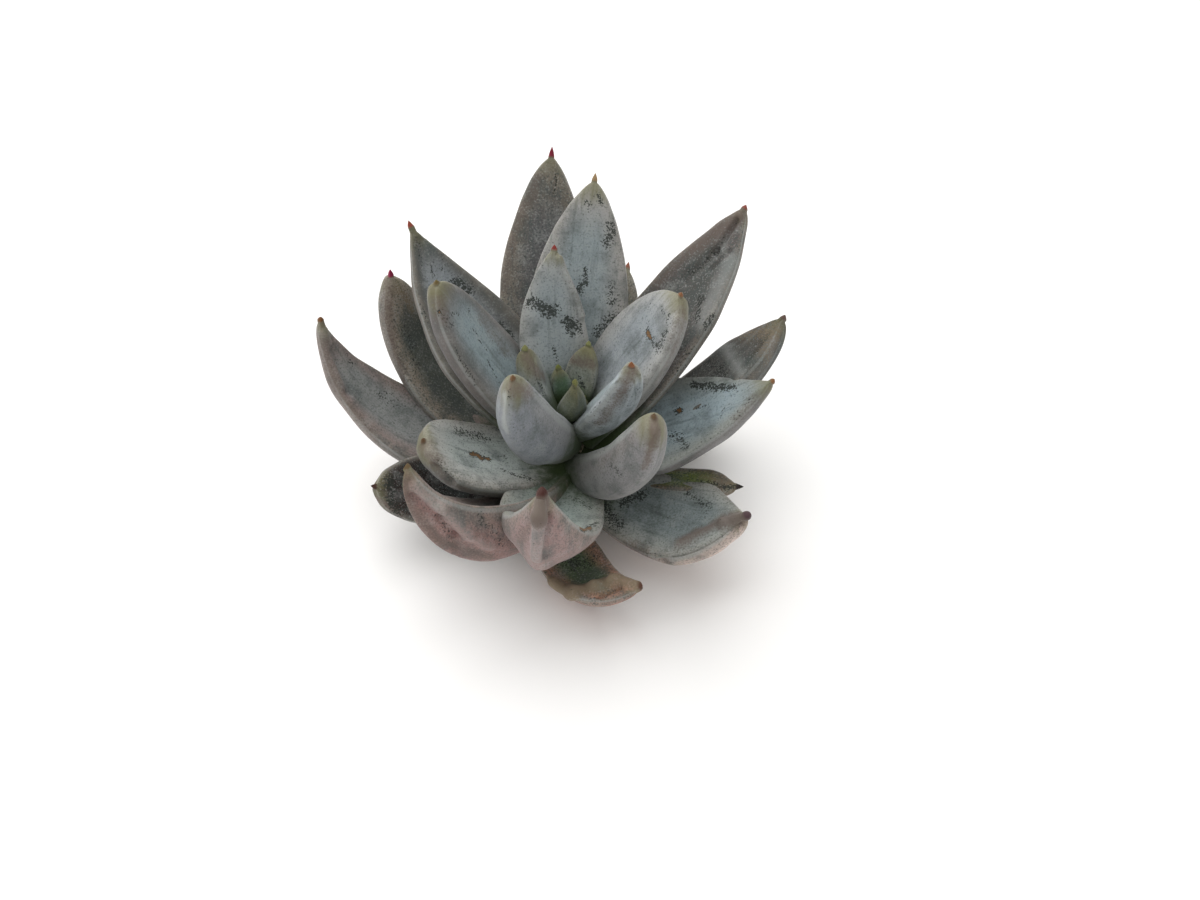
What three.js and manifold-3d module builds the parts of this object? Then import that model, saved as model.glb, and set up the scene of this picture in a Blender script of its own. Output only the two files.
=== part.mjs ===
// A loose rosette of a claw-leaved echeveria, cut from its roots and resting on its short stem.
// Millimetres and degrees, +Z up. The origin is the middle of the stem's flat cut end.
import * as THREE from "three";
import { mergeVertices } from "three/addons/utils/BufferGeometryUtils.js";
import Module from "manifold-3d";

const wasm = await Module();
wasm.setup();

// How the leaves stand round the stem
const SPIRAL_STEP = 137.5; // turn from one leaf to the next one out
const SPIRAL_START = 142; // turn of leaf 0, the first one outside the bud
const ROOT_RADIUS = 1; // where a leaf's centreline starts, out from the stem's axis
const GAP = 0.3; // clearance between neighbours, which just touch on the plant

// A leaf's section: a flat upper face with raised edges over a deep rounded underside
const UPPER_SHARE = 0.3;
const UNDER_SHARE = 0.7;
const KEEL_WIDTH = 0.3; // the underside's ridge, as a share of half the leaf's width
const CLAW_RADIUS = 0.32; // half the thickness of the point at a leaf's tip

// How finely a leaf is cut into flat faces: fewer round the small ones in the heart
const SMALL_LEAF = 12;
const SMALL_SIDES = 8;
const SMALL_STATIONS = 7;
const LARGE_SIDES = 12;
const LARGE_STATIONS = 10;
const CLAW_STATIONS = 2;
const PATH_STEPS = 60;

// The stem: height and radius, from the cut end up to the growing point
const STEM_PROFILE = [
  [0, 2.9],
  [0.5, 3.1],
  [1.1, 2.8],
  [1.8, 3.1],
  [2.4, 2.8],
  [3.1, 3.0],
  [4.0, 2.6],
  [6.0, 2.4],
  [9.0, 1.8],
  [12.0, 1.2],
  [13.4, 0.8],
];
const STEM_SIDES = 18;

// Each leaf's own shape, from the bud outwards.
// order: place in the spiral; lean: degrees that it stands off the spiral; foot: height of its root.
// length: root to the end of the claw; lift: rise at the root; curl: further rise up to the tip, and
// late: how much of that comes near the tip; sway: sideways bend; roll: turn about its own line.
// width, thick: at the broadest place; base: width at the root as a share; broad: where it is broadest.
// tip: how long the sides stay full; blunt: how round the end is; cup: raised edges; keel: ridge below.
// claw: length of the point.
const FIELDS =
  "order lean foot length lift curl late sway roll width thick base broad tip blunt cup keel claw";
const LEAVES = [
  [-1, 0, 12.4, 4.4, 80, 6, 1.5, 0, 0, 2, 1.4, 0.8, 0.4, 1.8, 0.85, 0.1, 0.1, 0.5],
  [0, -28, 14.2, 5.2, 74, 8, 1.5, 0, 0, 2.4, 1.6, 0.7, 0.45, 2, 0.8, 0.1, 0.1, 0.5],
  [1, 7, 14, 8.8, 70, 10, 1.5, 0, 0, 3.2, 1.8, 0.8, 0.3, 1.6, 0.95, 0.1, 0.3, 0.6],
  [2, 1, 13.6, 8.2, 62, 10, 1.5, -2, 0, 3.6, 2, 0.7, 0.5, 2.2, 0.7, 0.1, 0.2, 0.6],
  [3, -8.5, 13.4, 11.4, 72, 5, 1.5, -7, 0, 4, 2.2, 0.7, 0.5, 2.2, 0.7, 0.1, 0.2, 0.7],
  [4, -2, 12.6, 14.6, 53, 24, 1.5, 0, 0, 6, 3.5, 0.7, 0.4, 2, 0.6, 0.1, 0.1, 0.6],
  [5, -1, 12.2, 19, 54, 16, 1.5, -33, 0, 7.4, 3.2, 0.7, 0.4, 1.9, 0.8, 0.15, 0.1, 0.6],
  [6, -4, 11.6, 19.8, 45, 37, 1.2, -6, 17, 5.8, 5.4, 0.8, 0.45, 2.1, 0.55, 0.1, 0.1, 0.5],
  [7, -3, 11.6, 19.6, 51, 7, 1.5, -5, 0, 10.2, 3.8, 0.7, 0.5, 2.4, 0.65, 0.1, 0.1, 0.5],
  [8, 7, 11, 23, 47, 26, 1.5, -6, 0, 9.2, 3.8, 0.7, 0.4, 2.2, 0.6, 0.1, 0.1, 0.5],
  [9, 6, 6.8, 23, 32, 51, 1.2, 15, -43, 5.6, 4.8, 0.8, 0.45, 2.2, 0.45, 0.1, 0.1, 0.5],
  [10, 8, 10.2, 27.8, 43, 20, 1.5, -12, 0, 11, 4, 0.6, 0.45, 1.8, 0.75, 0.1, 0.1, 0.9],
  [11, -6, 8.2, 17.8, 12, 44, 1.5, -15, 0, 10.4, 3.2, 0.7, 0.6, 2.3, 0.5, 0.1, 0.1, 0.5],
  [12, 11, 8, 23.8, 14, 35, 1.5, -7, 6, 11.6, 4.2, 0.6, 0.4, 1.5, 0.9, 0.2, 0.1, 0.5],
  [13, 14, 9, 29, 29, 30, 1.5, -14, 0, 11.2, 4, 0.6, 0.45, 1.6, 1.05, 0.2, 0.1, 0.8],
  [14, -6, 8.4, 25.8, 0, 105, 1.6, 10, -9, 10.8, 4, 0.7, 0.45, 1.6, 0.8, 0.15, 0.4, 0.6],
  [15, -6, 8, 32, 35, 19, 1.5, 2, 0, 9.8, 4, 0.6, 0.45, 2, 0.8, 0.2, 0.1, 0.5],
  [16, -9, 6.8, 34.6, -9, 102, 1.5, -20, -5, 9, 4, 0.6, 0.45, 1.5, 1.05, 0.2, 0.1, 0.6],
  [17, 2, 6.4, 23.8, -14, 72, 1.5, 13, 9, 10.4, 3.8, 0.6, 0.65, 1.6, 1.15, 0.1, 0.1, 0.4],
  [18, 6, 6.8, 34, 30, 37, 1.5, -25, 0, 10.8, 4, 0.5, 0.45, 1.8, 0.7, 0.15, 0.1, 1.2],
  [19, 14, 6.6, 29, 6, 72, 1.3, -72, 33, 8.6, 4.6, 0.6, 0.5, 1.1, 1, 0.35, 0.3, 0.5],
  [20, 4, 5.6, 28.4, 21, 31, 1.5, 6, -15, 7.2, 3.6, 0.3, 0.7, 1.7, 0.95, 0.15, 0.3, 0.6],
  [21, 1, 5.6, 31.6, -13, 99, 0.9, -12, 0, 9, 4, 0.5, 0.5, 2.1, 0.7, 0.2, 0.1, 1],
  [22, -30, 4, 21.8, -10, 47, 1.5, 92, 10, 6.6, 3.2, 0.5, 0.55, 1.9, 1, 0.3, 0.1, 0.4],
  [23, 8, 4.8, 24.6, 18, 25, 1.5, 0, 0, 7.6, 3.6, 0.4, 0.5, 1.9, 0.8, 0.15, 0.1, 0.8],
  [24, -5, 4.4, 21.6, 1, 32, 1.5, 0, -34, 7.8, 3.6, 0.4, 0.6, 3, 0.6, 0.4, 0.1, 0.7],
  [25, 5, 4, 19, 13, -2, 1.5, 0, 0, 3.6, 2.4, 0.4, 0.8, 1.9, 0.8, 0.15, 0.1, 0.9],
  [26, 0, 4, 24, -10, 42, 1.5, 0, 0, 8, 3.6, 0.4, 0.5, 1.9, 0.8, 0.2, 0.1, 0.7],
  [28, 0, 3.6, 22, -8, 40, 1.5, 0, 0, 7.6, 3.4, 0.4, 0.5, 1.9, 0.8, 0.2, 0.1, 0.7],
].map((row) => Object.fromEntries(FIELDS.split(" ").map((field, i) => [field, row[i]])));

// Colours: a blue-grey bloom over green, browner on the old leaves, green in the heart
const BLOOM = 0x8d9c9f;
const OLD_BLOOM = 0x7c7a78;
const HEART = 0x7f9078;
const STEM = 0x8a8070;
const FIRST_OLD = 15;
const LAST_HEART = 4;

const isSmall = (leaf) => leaf.length < SMALL_LEAF;
const sidesOf = (leaf) => (isSmall(leaf) ? SMALL_SIDES : LARGE_SIDES);
const stationsOf = (leaf) => (isSmall(leaf) ? SMALL_STATIONS : LARGE_STATIONS);
const clamp01 = (x) => Math.min(1, Math.max(0, x));
const smooth = (x) => clamp01(x) ** 2 * (3 - 2 * clamp01(x));
const radians = THREE.MathUtils.degToRad;
const signedPower = (x, p) => Math.sign(x) * Math.abs(x) ** p;

// The rise and the turn of a leaf's centreline at t, from 0 at the root to 1 at the claw's end
function headingAt(leaf, t) {
  const turn = SPIRAL_START + SPIRAL_STEP * leaf.order + leaf.lean;
  return {
    rise: radians(leaf.lift + leaf.curl * t ** leaf.late),
    turn: radians(turn + leaf.sway * t ** 1.3),
  };
}

function directionAt(leaf, t) {
  const { rise, turn } = headingAt(leaf, t);
  return new THREE.Vector3(
    Math.cos(rise) * Math.cos(turn),
    Math.cos(rise) * Math.sin(turn),
    Math.sin(rise),
  );
}

// Points along the centreline, a short step apart
function centreline(leaf) {
  const { turn } = headingAt(leaf, 0);
  const point = new THREE.Vector3(Math.cos(turn), Math.sin(turn), 0);
  point.multiplyScalar(ROOT_RADIUS).setZ(leaf.foot);
  const points = [point];
  for (let i = 0; i < PATH_STEPS; i++) {
    const step = directionAt(leaf, (i + 0.5) / PATH_STEPS);
    step.multiplyScalar(leaf.length / PATH_STEPS);
    points.push(points[i].clone().add(step));
  }
  return points;
}

function pointAt(points, t) {
  const at = clamp01(t) * PATH_STEPS;
  const i = Math.min(PATH_STEPS - 1, Math.floor(at));
  return points[i].clone().lerp(points[i + 1], at - i);
}

// Width of the blade at u, from 0 at the root to 1 where the claw starts, as a share of the broadest
function widthShare(leaf, u) {
  if (u < leaf.broad) {
    const rise = Math.sin((u / leaf.broad) * (Math.PI / 2)) ** 1.2;
    return leaf.base + (1 - leaf.base) * rise;
  }
  const past = (u - leaf.broad) / (1 - leaf.broad);
  return (1 - past ** leaf.tip) ** leaf.blunt;
}

// One ring of points round the leaf, made larger by grow all round
function ringAt(leaf, points, t, grow) {
  const clawStart = 1 - leaf.claw / leaf.length;
  const u = Math.min(1, t / clawStart);
  const share = widthShare(leaf, u);
  const claw = CLAW_RADIUS * (1 - Math.max(0, (t - clawStart) / (1 - clawStart)) ** 1.5);
  const half = Math.max((leaf.width / 2) * share, claw);
  const full = u < leaf.broad ? 0.75 + 0.25 * Math.min(1, u / 0.4) : share ** 0.55;
  const deep = Math.max(leaf.thick * full, 2 * claw);
  const cup = leaf.cup * Math.sin(Math.PI * Math.min(1, u * 1.05)) ** 0.7;
  const keel = leaf.keel * smooth((u - 0.3) / 0.5);
  const { rise, turn } = headingAt(leaf, t);
  const across = new THREE.Vector3(-Math.sin(turn), Math.cos(turn), 0);
  const out = directionAt(leaf, t);
  const up = new THREE.Vector3().crossVectors(out, across);
  up.applyAxisAngle(out, radians(leaf.roll));
  across.applyAxisAngle(out, radians(leaf.roll));
  const middle = pointAt(points, t);
  const sides = sidesOf(leaf);
  const ring = [];
  for (let i = 0; i < sides; i++) {
    const angle = (i / sides) * 2 * Math.PI;
    const c = Math.cos(angle);
    const s = Math.sin(angle);
    const above = s > 0 ? UPPER_SHARE * s ** 0.8 : -UNDER_SHARE * Math.abs(s) ** 0.9;
    const edge = half * cup * (1.6 * c * c - 0.6);
    const ridge = s < 0 ? keel * deep * Math.exp(-((c / KEEL_WIDTH) ** 2)) : 0;
    const x = (half + grow) * signedPower(c, 0.9);
    const z = deep * above + edge - ridge + grow * signedPower(s, 0.3);
    ring.push(middle.clone().addScaledVector(across, x).addScaledVector(up, z));
  }
  return ring;
}

// A leaf as a manifold solid: rings joined by faces, closed at the root and at the claw's point
function leafSolid(leaf, grow = 0) {
  const points = centreline(leaf);
  const clawStart = 1 - leaf.claw / leaf.length;
  const sides = sidesOf(leaf);
  const stations = stationsOf(leaf);
  const places = [];
  for (let i = 0; i <= stations; i++) {
    places.push(clawStart * (1 - (1 - i / stations) ** 1.3));
  }
  for (let i = 1; i < CLAW_STATIONS; i++) {
    places.push(clawStart + ((1 - clawStart) * i) / CLAW_STATIONS);
  }
  const rings = places.map((t) => ringAt(leaf, points, t, grow));
  const root = pointAt(points, 0).addScaledVector(directionAt(leaf, 0), -grow);
  const point = pointAt(points, 1).addScaledVector(directionAt(leaf, 1), grow);
  const vertices = [...rings.flat(), root, point];
  const rootIndex = vertices.length - 2;
  const pointIndex = vertices.length - 1;
  const lastRing = (rings.length - 1) * sides;
  const faces = [];
  for (let i = 0; i < sides; i++) {
    const next = (i + 1) % sides;
    faces.push(rootIndex, next, i);
    faces.push(pointIndex, lastRing + i, lastRing + next);
    for (let r = 0; r < rings.length - 1; r++) {
      const a = r * sides;
      const b = a + sides;
      faces.push(a + i, a + next, b + next);
      faces.push(a + i, b + next, b + i);
    }
  }
  return solidFrom(vertices, faces);
}

function solidFrom(vertices, faces) {
  const mesh = new wasm.Mesh({
    numProp: 3,
    vertProperties: new Float32Array(vertices.flatMap((v) => v.toArray())),
    triVerts: new Uint32Array(faces),
  });
  return new wasm.Manifold(mesh);
}

// The stem as a lathe-turned solid, made wider by grow
function stemSolid(grow = 0) {
  const top = STEM_PROFILE[STEM_PROFILE.length - 1][0];
  const profile = [
    new THREE.Vector2(0, -grow),
    ...STEM_PROFILE.map(([z, r]) => new THREE.Vector2(r + grow, z === 0 ? -grow : z)),
    new THREE.Vector2(0, top + 0.4 + grow),
  ];
  const lathe = new THREE.LatheGeometry(profile, STEM_SIDES).rotateX(Math.PI / 2);
  lathe.deleteAttribute("normal");
  lathe.deleteAttribute("uv");
  const merged = mergeVertices(lathe, 1e-4);
  const mesh = new wasm.Mesh({
    numProp: 3,
    vertProperties: merged.attributes.position.array,
    triVerts: new Uint32Array(merged.index.array),
  });
  return new wasm.Manifold(mesh);
}

// A solid's largest body: what a cut leaves of a leaf beyond it is dropped
function largestBody(solid) {
  const bodies = solid.decompose();
  return bodies.reduce((best, body) => (body.volume() > best.volume() ? body : best));
}

function geometryOf(solid) {
  const { vertProperties, triVerts } = solid.getMesh();
  const geometry = new THREE.BufferGeometry();
  geometry.setAttribute("position", new THREE.BufferAttribute(vertProperties, 3));
  geometry.setIndex(new THREE.BufferAttribute(triVerts, 1));
  geometry.computeVertexNormals();
  return geometry;
}

function colourOf(leaf) {
  if (leaf.order <= LAST_HEART) return HEART;
  return leaf.order >= FIRST_OLD ? OLD_BLOOM : BLOOM;
}

function addPiece(group, name, solid, colour) {
  const material = new THREE.MeshStandardMaterial({ color: colour, roughness: 0.8, metalness: 0 });
  const mesh = new THREE.Mesh(geometryOf(solid), material);
  mesh.name = name;
  group.add(mesh);
}

const rosette = new THREE.Group();
addPiece(rosette, "stem", stemSolid(), STEM);

// Each leaf gives way to the stem and to the leaves inside it, a little clear of them
let inside = stemSolid(GAP);
for (const leaf of LEAVES) {
  const name = leaf.order < 0 ? "bud" : "leaf_" + String(leaf.order).padStart(2, "0");
  addPiece(rosette, name, largestBody(leafSolid(leaf).subtract(inside)), colourOf(leaf));
  inside = inside.add(leafSolid(leaf, GAP));
}

export default rosette;
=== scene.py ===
"""A loose echeveria rosette for close views: fleshy claw-tipped leaves with worn wax on a cut stem."""

import math
from collections import namedtuple

import bmesh
import bpy
from bpy.props import FloatProperty, FloatVectorProperty, PointerProperty
from mathutils import Matrix, Vector, kdtree, noise


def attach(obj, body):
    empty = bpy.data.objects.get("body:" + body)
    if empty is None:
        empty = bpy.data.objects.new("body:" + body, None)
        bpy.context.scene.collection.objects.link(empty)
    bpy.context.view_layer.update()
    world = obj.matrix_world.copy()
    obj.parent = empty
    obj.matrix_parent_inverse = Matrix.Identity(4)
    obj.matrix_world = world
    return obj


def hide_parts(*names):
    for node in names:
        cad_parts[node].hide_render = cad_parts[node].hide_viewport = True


bl_info = {
    "name": "Echeveria rosette",
    "version": (1, 0, 0),
    "blender": (4, 5, 0),
    "location": "3D View > Sidebar > Echeveria",
    "description": "Builds a bare echeveria rosette, leaf by leaf, round its packed solids",
    "category": "Add Mesh",
}

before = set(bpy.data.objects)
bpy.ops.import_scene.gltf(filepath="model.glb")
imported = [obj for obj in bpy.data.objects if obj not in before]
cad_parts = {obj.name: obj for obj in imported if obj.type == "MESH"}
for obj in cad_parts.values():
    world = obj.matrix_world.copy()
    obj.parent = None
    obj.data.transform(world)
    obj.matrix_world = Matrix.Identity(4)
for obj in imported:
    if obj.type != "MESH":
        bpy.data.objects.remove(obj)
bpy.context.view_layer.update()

MM = 0.001

# How the leaves stand round the stem, in degrees and millimetres as in the part's source
SPIRAL_START = 142
ROOT_RADIUS = 1
SWAY_POWER = 1.3
PATH_STEPS = 60

# A leaf's section: a flat upper face with raised edges over a deep, rounded and ridged underside
UPPER_SHARE = 0.3
UNDER_SHARE = 0.7
UPPER_POWER = 0.8
UNDER_POWER = 0.9
SIDE_POWER = 0.9
KEEL_WIDTH = 0.3
CUP_SINK = 0.6

# How the section changes from the root to the claw, in shares of the blade and powers of them
ROOT_FLARE = 1.2
ROOT_THICKNESS = 0.75
FULL_THICKNESS_AT = 0.4
TIP_THINNING = 0.55
CLAW_ROUNDING = 1.5
CUP_STRETCH = 1.05
CUP_FULLNESS = 0.7
KEEL_START = 0.3
KEEL_RISE = 0.5

# How finely a leaf's surface is cut: round it and along its blade, for small and for full-grown
# leaves, then along its claw, and how much the rings crowd towards the tip
SMALL_CUTS = (56, 90)
FULL_CUTS = (104, 170)
CLAW_RINGS = 10
TIP_CROWDING = 1.3

# The skin's unevenness in millimetres: broad swellings, wrinkles and the ragged outline of a mark
SWELL_SIZE = 4.5
SWELL_HEIGHT = 0.12
WRINKLE_GAP = 0.9
WRINKLE_LENGTH = 5
STRAY_SIZE = 0.9
STRAY_REACH = 0.3
# How far apart two leaves next in the spiral lie in the noise, so that no two look the same
NOISE_STEPS = (7.3, 3.1)
# Blender seeds its vector noise with the time of day unless it is given a seed other than 0
NOISE_SEED = 1
# The share of the blade that is smooth at its root, and where the claw's tone starts, in millimetres
SMOOTH_ROOT = 0.15
CLAW_TONE_EARLY = 0.1
CLAW_TONE_FADE = 0.35

# The stem: height and radius in millimetres, from the cut end up to the growing point
STEM_PROFILE = [
    (0, 2.9),
    (0.5, 3.1),
    (1.1, 2.8),
    (1.8, 3.1),
    (2.4, 2.8),
    (3.1, 3.0),
    (4.0, 2.6),
    (6.0, 2.4),
    (9.0, 1.8),
    (12.0, 1.2),
    (13.4, 0.8),
    (13.8, 0),
]
STEM_SIDES = 96
STEM_RINGS = 150
# Rings on the cut face and the way between them
CUT_RINGS = 12
CUT_STEP = 0.25
# Bark: bumps in a millimetre round the stem and up it, their height, and where they start
ROUND_GRAIN = 1.4
UPRIGHT_GRAIN = 3
BARK_HEIGHT = 0.12
LOWEST_BARK = 0.01
INNERMOST_BARK = 0.05
WELD_DISTANCE = 0.001 * MM

# Each leaf's own shape, from the bud outwards.
# order: place in the spiral; lean: degrees that it stands off the spiral; foot: height of its root.
# length: root to the end of the claw; lift: rise at the root; curl: further rise up to the tip, and
# late: how much of that comes near the tip; sway: sideways bend; roll: turn about its own line.
# width, thick: at the broadest place; base: width at the root as a share; broad: where it is broadest.
# tip: how long the sides stay full; blunt: how round the end is; cup: raised edges; keel: ridge below.
# claw: length of the point.
Leaf = namedtuple(
    "Leaf",
    "order lean foot length lift curl late sway roll width thick base broad tip blunt cup keel claw",
)
LEAVES = [
    Leaf(*row)
    for row in (
        (-1, 0, 12.4, 4.4, 80, 6, 1.5, 0, 0, 2, 1.4, 0.8, 0.4, 1.8, 0.85, 0.1, 0.1, 0.5),
        (0, -28, 14.2, 5.2, 74, 8, 1.5, 0, 0, 2.4, 1.6, 0.7, 0.45, 2, 0.8, 0.1, 0.1, 0.5),
        (1, 7, 14, 8.8, 70, 10, 1.5, 0, 0, 3.2, 1.8, 0.8, 0.3, 1.6, 0.95, 0.1, 0.3, 0.6),
        (2, 1, 13.6, 8.2, 62, 10, 1.5, -2, 0, 3.6, 2, 0.7, 0.5, 2.2, 0.7, 0.1, 0.2, 0.6),
        (3, -8.5, 13.4, 11.4, 72, 5, 1.5, -7, 0, 4, 2.2, 0.7, 0.5, 2.2, 0.7, 0.1, 0.2, 0.7),
        (4, -2, 12.6, 14.6, 53, 24, 1.5, 0, 0, 6, 3.5, 0.7, 0.4, 2, 0.6, 0.1, 0.1, 0.6),
        (5, -1, 12.2, 19, 54, 16, 1.5, -33, 0, 7.4, 3.2, 0.7, 0.4, 1.9, 0.8, 0.15, 0.1, 0.6),
        (6, -4, 11.6, 19.8, 45, 37, 1.2, -6, 17, 5.8, 5.4, 0.8, 0.45, 2.1, 0.55, 0.1, 0.1, 0.5),
        (7, -3, 11.6, 19.6, 51, 7, 1.5, -5, 0, 10.2, 3.8, 0.7, 0.5, 2.4, 0.65, 0.1, 0.1, 0.5),
        (8, 7, 11, 23, 47, 26, 1.5, -6, 0, 9.2, 3.8, 0.7, 0.4, 2.2, 0.6, 0.1, 0.1, 0.5),
        (9, 6, 6.8, 23, 32, 51, 1.2, 15, -43, 5.6, 4.8, 0.8, 0.45, 2.2, 0.45, 0.1, 0.1, 0.5),
        (10, 8, 10.2, 27.8, 43, 20, 1.5, -12, 0, 11, 4, 0.6, 0.45, 1.8, 0.75, 0.1, 0.1, 0.9),
        (11, -6, 8.2, 17.8, 12, 44, 1.5, -15, 0, 10.4, 3.2, 0.7, 0.6, 2.3, 0.5, 0.1, 0.1, 0.5),
        (12, 11, 8, 23.8, 14, 35, 1.5, -7, 6, 11.6, 4.2, 0.6, 0.4, 1.5, 0.9, 0.2, 0.1, 0.5),
        (13, 14, 9, 29, 29, 30, 1.5, -14, 0, 11.2, 4, 0.6, 0.45, 1.6, 1.05, 0.2, 0.1, 0.8),
        (14, -6, 8.4, 25.8, 0, 105, 1.6, 10, -9, 10.8, 4, 0.7, 0.45, 1.6, 0.8, 0.15, 0.4, 0.6),
        (15, -6, 8, 32, 35, 19, 1.5, 2, 0, 9.8, 4, 0.6, 0.45, 2, 0.8, 0.2, 0.1, 0.5),
        (16, -9, 6.8, 34.6, -9, 102, 1.5, -20, -5, 9, 4, 0.6, 0.45, 1.5, 1.05, 0.2, 0.1, 0.6),
        (17, 2, 6.4, 23.8, -14, 72, 1.5, 13, 9, 10.4, 3.8, 0.6, 0.65, 1.6, 1.15, 0.1, 0.1, 0.4),
        (18, 6, 6.8, 34, 30, 37, 1.5, -25, 0, 10.8, 4, 0.5, 0.45, 1.8, 0.7, 0.15, 0.1, 1.2),
        (19, 14, 6.6, 29, 6, 72, 1.3, -72, 33, 8.6, 4.6, 0.6, 0.5, 1.1, 1, 0.35, 0.3, 0.5),
        (20, 4, 5.6, 28.4, 21, 31, 1.5, 6, -15, 7.2, 3.6, 0.3, 0.7, 1.7, 0.95, 0.15, 0.3, 0.6),
        (21, 1, 5.6, 31.6, -13, 99, 0.9, -12, 0, 9, 4, 0.5, 0.5, 2.1, 0.7, 0.2, 0.1, 1),
        (22, -30, 4, 21.8, -10, 47, 1.5, 92, 10, 6.6, 3.2, 0.5, 0.55, 1.9, 1, 0.3, 0.1, 0.4),
        (23, 8, 4.8, 24.6, 18, 25, 1.5, 0, 0, 7.6, 3.6, 0.4, 0.5, 1.9, 0.8, 0.15, 0.1, 0.8),
        (24, -5, 4.4, 21.6, 1, 32, 1.5, 0, -34, 7.8, 3.6, 0.4, 0.6, 3, 0.6, 0.4, 0.1, 0.7),
        (25, 5, 4, 19, 13, -2, 1.5, 0, 0, 3.6, 2.4, 0.4, 0.8, 1.9, 0.8, 0.15, 0.1, 0.9),
        (26, 0, 4, 24, -10, 42, 1.5, 0, 0, 8, 3.6, 0.4, 0.5, 1.9, 0.8, 0.2, 0.1, 0.7),
        (28, 0, 3.6, 22, -8, 40, 1.5, 0, 0, 7.6, 3.4, 0.4, 0.5, 1.9, 0.8, 0.2, 0.1, 0.7),
    )
]

# Each leaf's finish and its tones: the bloom near the edges, the hollow between them, the
# underside and the claw; then how far its surface is wrinkled, in millimetres. The tones were set
# leaf by leaf to how bright each leaf looked in its place, so beside the leaf's own colour they hold
# painted shade and painted light: the underside of leaf 11 is darkened with painted shade, and the
# underside of leaf 17 is lightened with painted light.
Look = namedtuple("Look", "finish bloom hollow under claw wrinkle")
LOOKS = {
    -1: Look("heart", "#889078", "#6e7a56", "#889078", "#7c7c44", 0.02),
    0: Look("heart", "#88988a", "#6c866c", "#88988a", "#6a6e38", 0.02),
    1: Look("heart", "#767a66", "#666e58", "#767a66", "#707040", 0.03),
    2: Look("heart", "#909086", "#7e8278", "#909086", "#7e8050", 0.03),
    3: Look("heart", "#a0a4a2", "#8e9494", "#a0a4a2", "#7e7e50", 0.03),
    4: Look("young", "#acb4b8", "#9aa6aa", "#b0b8bc", "#845434", 0.04),
    5: Look("young", "#a2a4a2", "#949c9e", "#a29e9a", "#80302a", 0.05),
    6: Look("young", "#8c9296", "#7c8a8e", "#84888e", "#684c30", 0.05),
    7: Look("young", "#a0a09e", "#92989c", "#848280", "#7c502e", 0.05),
    8: Look("young", "#706e6c", "#8a989c", "#544c4c", "#62522e", 0.05),
    9: Look("young", "#8c908e", "#82888a", "#8c8a8a", "#5e4a34", 0.05),
    10: Look("young", "#9a9894", "#8e989a", "#928e8a", "#9c8260", 0.05),
    # Painted shade: this leaf's underside tone is darkened where its underside lies in shade.
    11: Look("outer", "#b0b0aa", "#aeb6b2", "#464242", "#5a422a", 0.06),
    12: Look("young", "#8e9490", "#9eaeb4", "#747274", "#7e5634", 0.06),
    13: Look("outer", "#585650", "#888e92", "#6a625e", "#883c2e", 0.06),
    14: Look("outer", "#a0a49c", "#96a29c", "#987e7a", "#3c180e", 0.07),
    15: Look("old", "#5e5652", "#54524e", "#6a5e58", "#804036", 0.08),
    16: Look("outer", "#90807a", "#8a8c8a", "#8c7c7a", "#704a2a", 0.06),
    # Painted light: this leaf's underside tone is lightened to paint light onto its underside.
    17: Look("outer", "#9a9c96", "#7e8888", "#e0cac0", "#4c383c", 0.07),
    18: Look("old", "#766e62", "#605e5e", "#766658", "#7c1e32", 0.06),
    19: Look("outer", "#8c766e", "#7c7e78", "#967670", "#665438", 0.1),
    20: Look("old", "#342e24", "#5e5c58", "#342e26", "#5e4a42", 0.08),
    21: Look("old", "#a09484", "#5c6058", "#867a72", "#8c2646", 0.07),
    22: Look("old", "#b4866e", "#5a6c4e", "#bc8c7a", "#54382a", 0.1),
    23: Look("old", "#7a7264", "#6a7060", "#7c7468", "#8c5a48", 0.08),
    24: Look("old", "#281208", "#1c0a06", "#322014", "#422a22", 0.1),
    25: Look("old", "#726250", "#768242", "#746254", "#241a18", 0.1),
    26: Look("old", "#726858", "#646858", "#766e60", "#6a4a3a", 0.1),
    28: Look("old", "#6e6652", "#62644e", "#746a5c", "#5a4034", 0.1),
}

# The camera: 48 degrees above the horizon and 175 mm from the rosette's heart
CAMERA_PLACE = Vector((3.498, -120.25, 141.61)) * MM
CAMERA_TILT = math.radians(42)
CAMERA_LENS = 49.53
CAMERA_SENSOR = 36
CAMERA_CLIP = 0.005
PHOTO_SIZE = (1200, 900)
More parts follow.
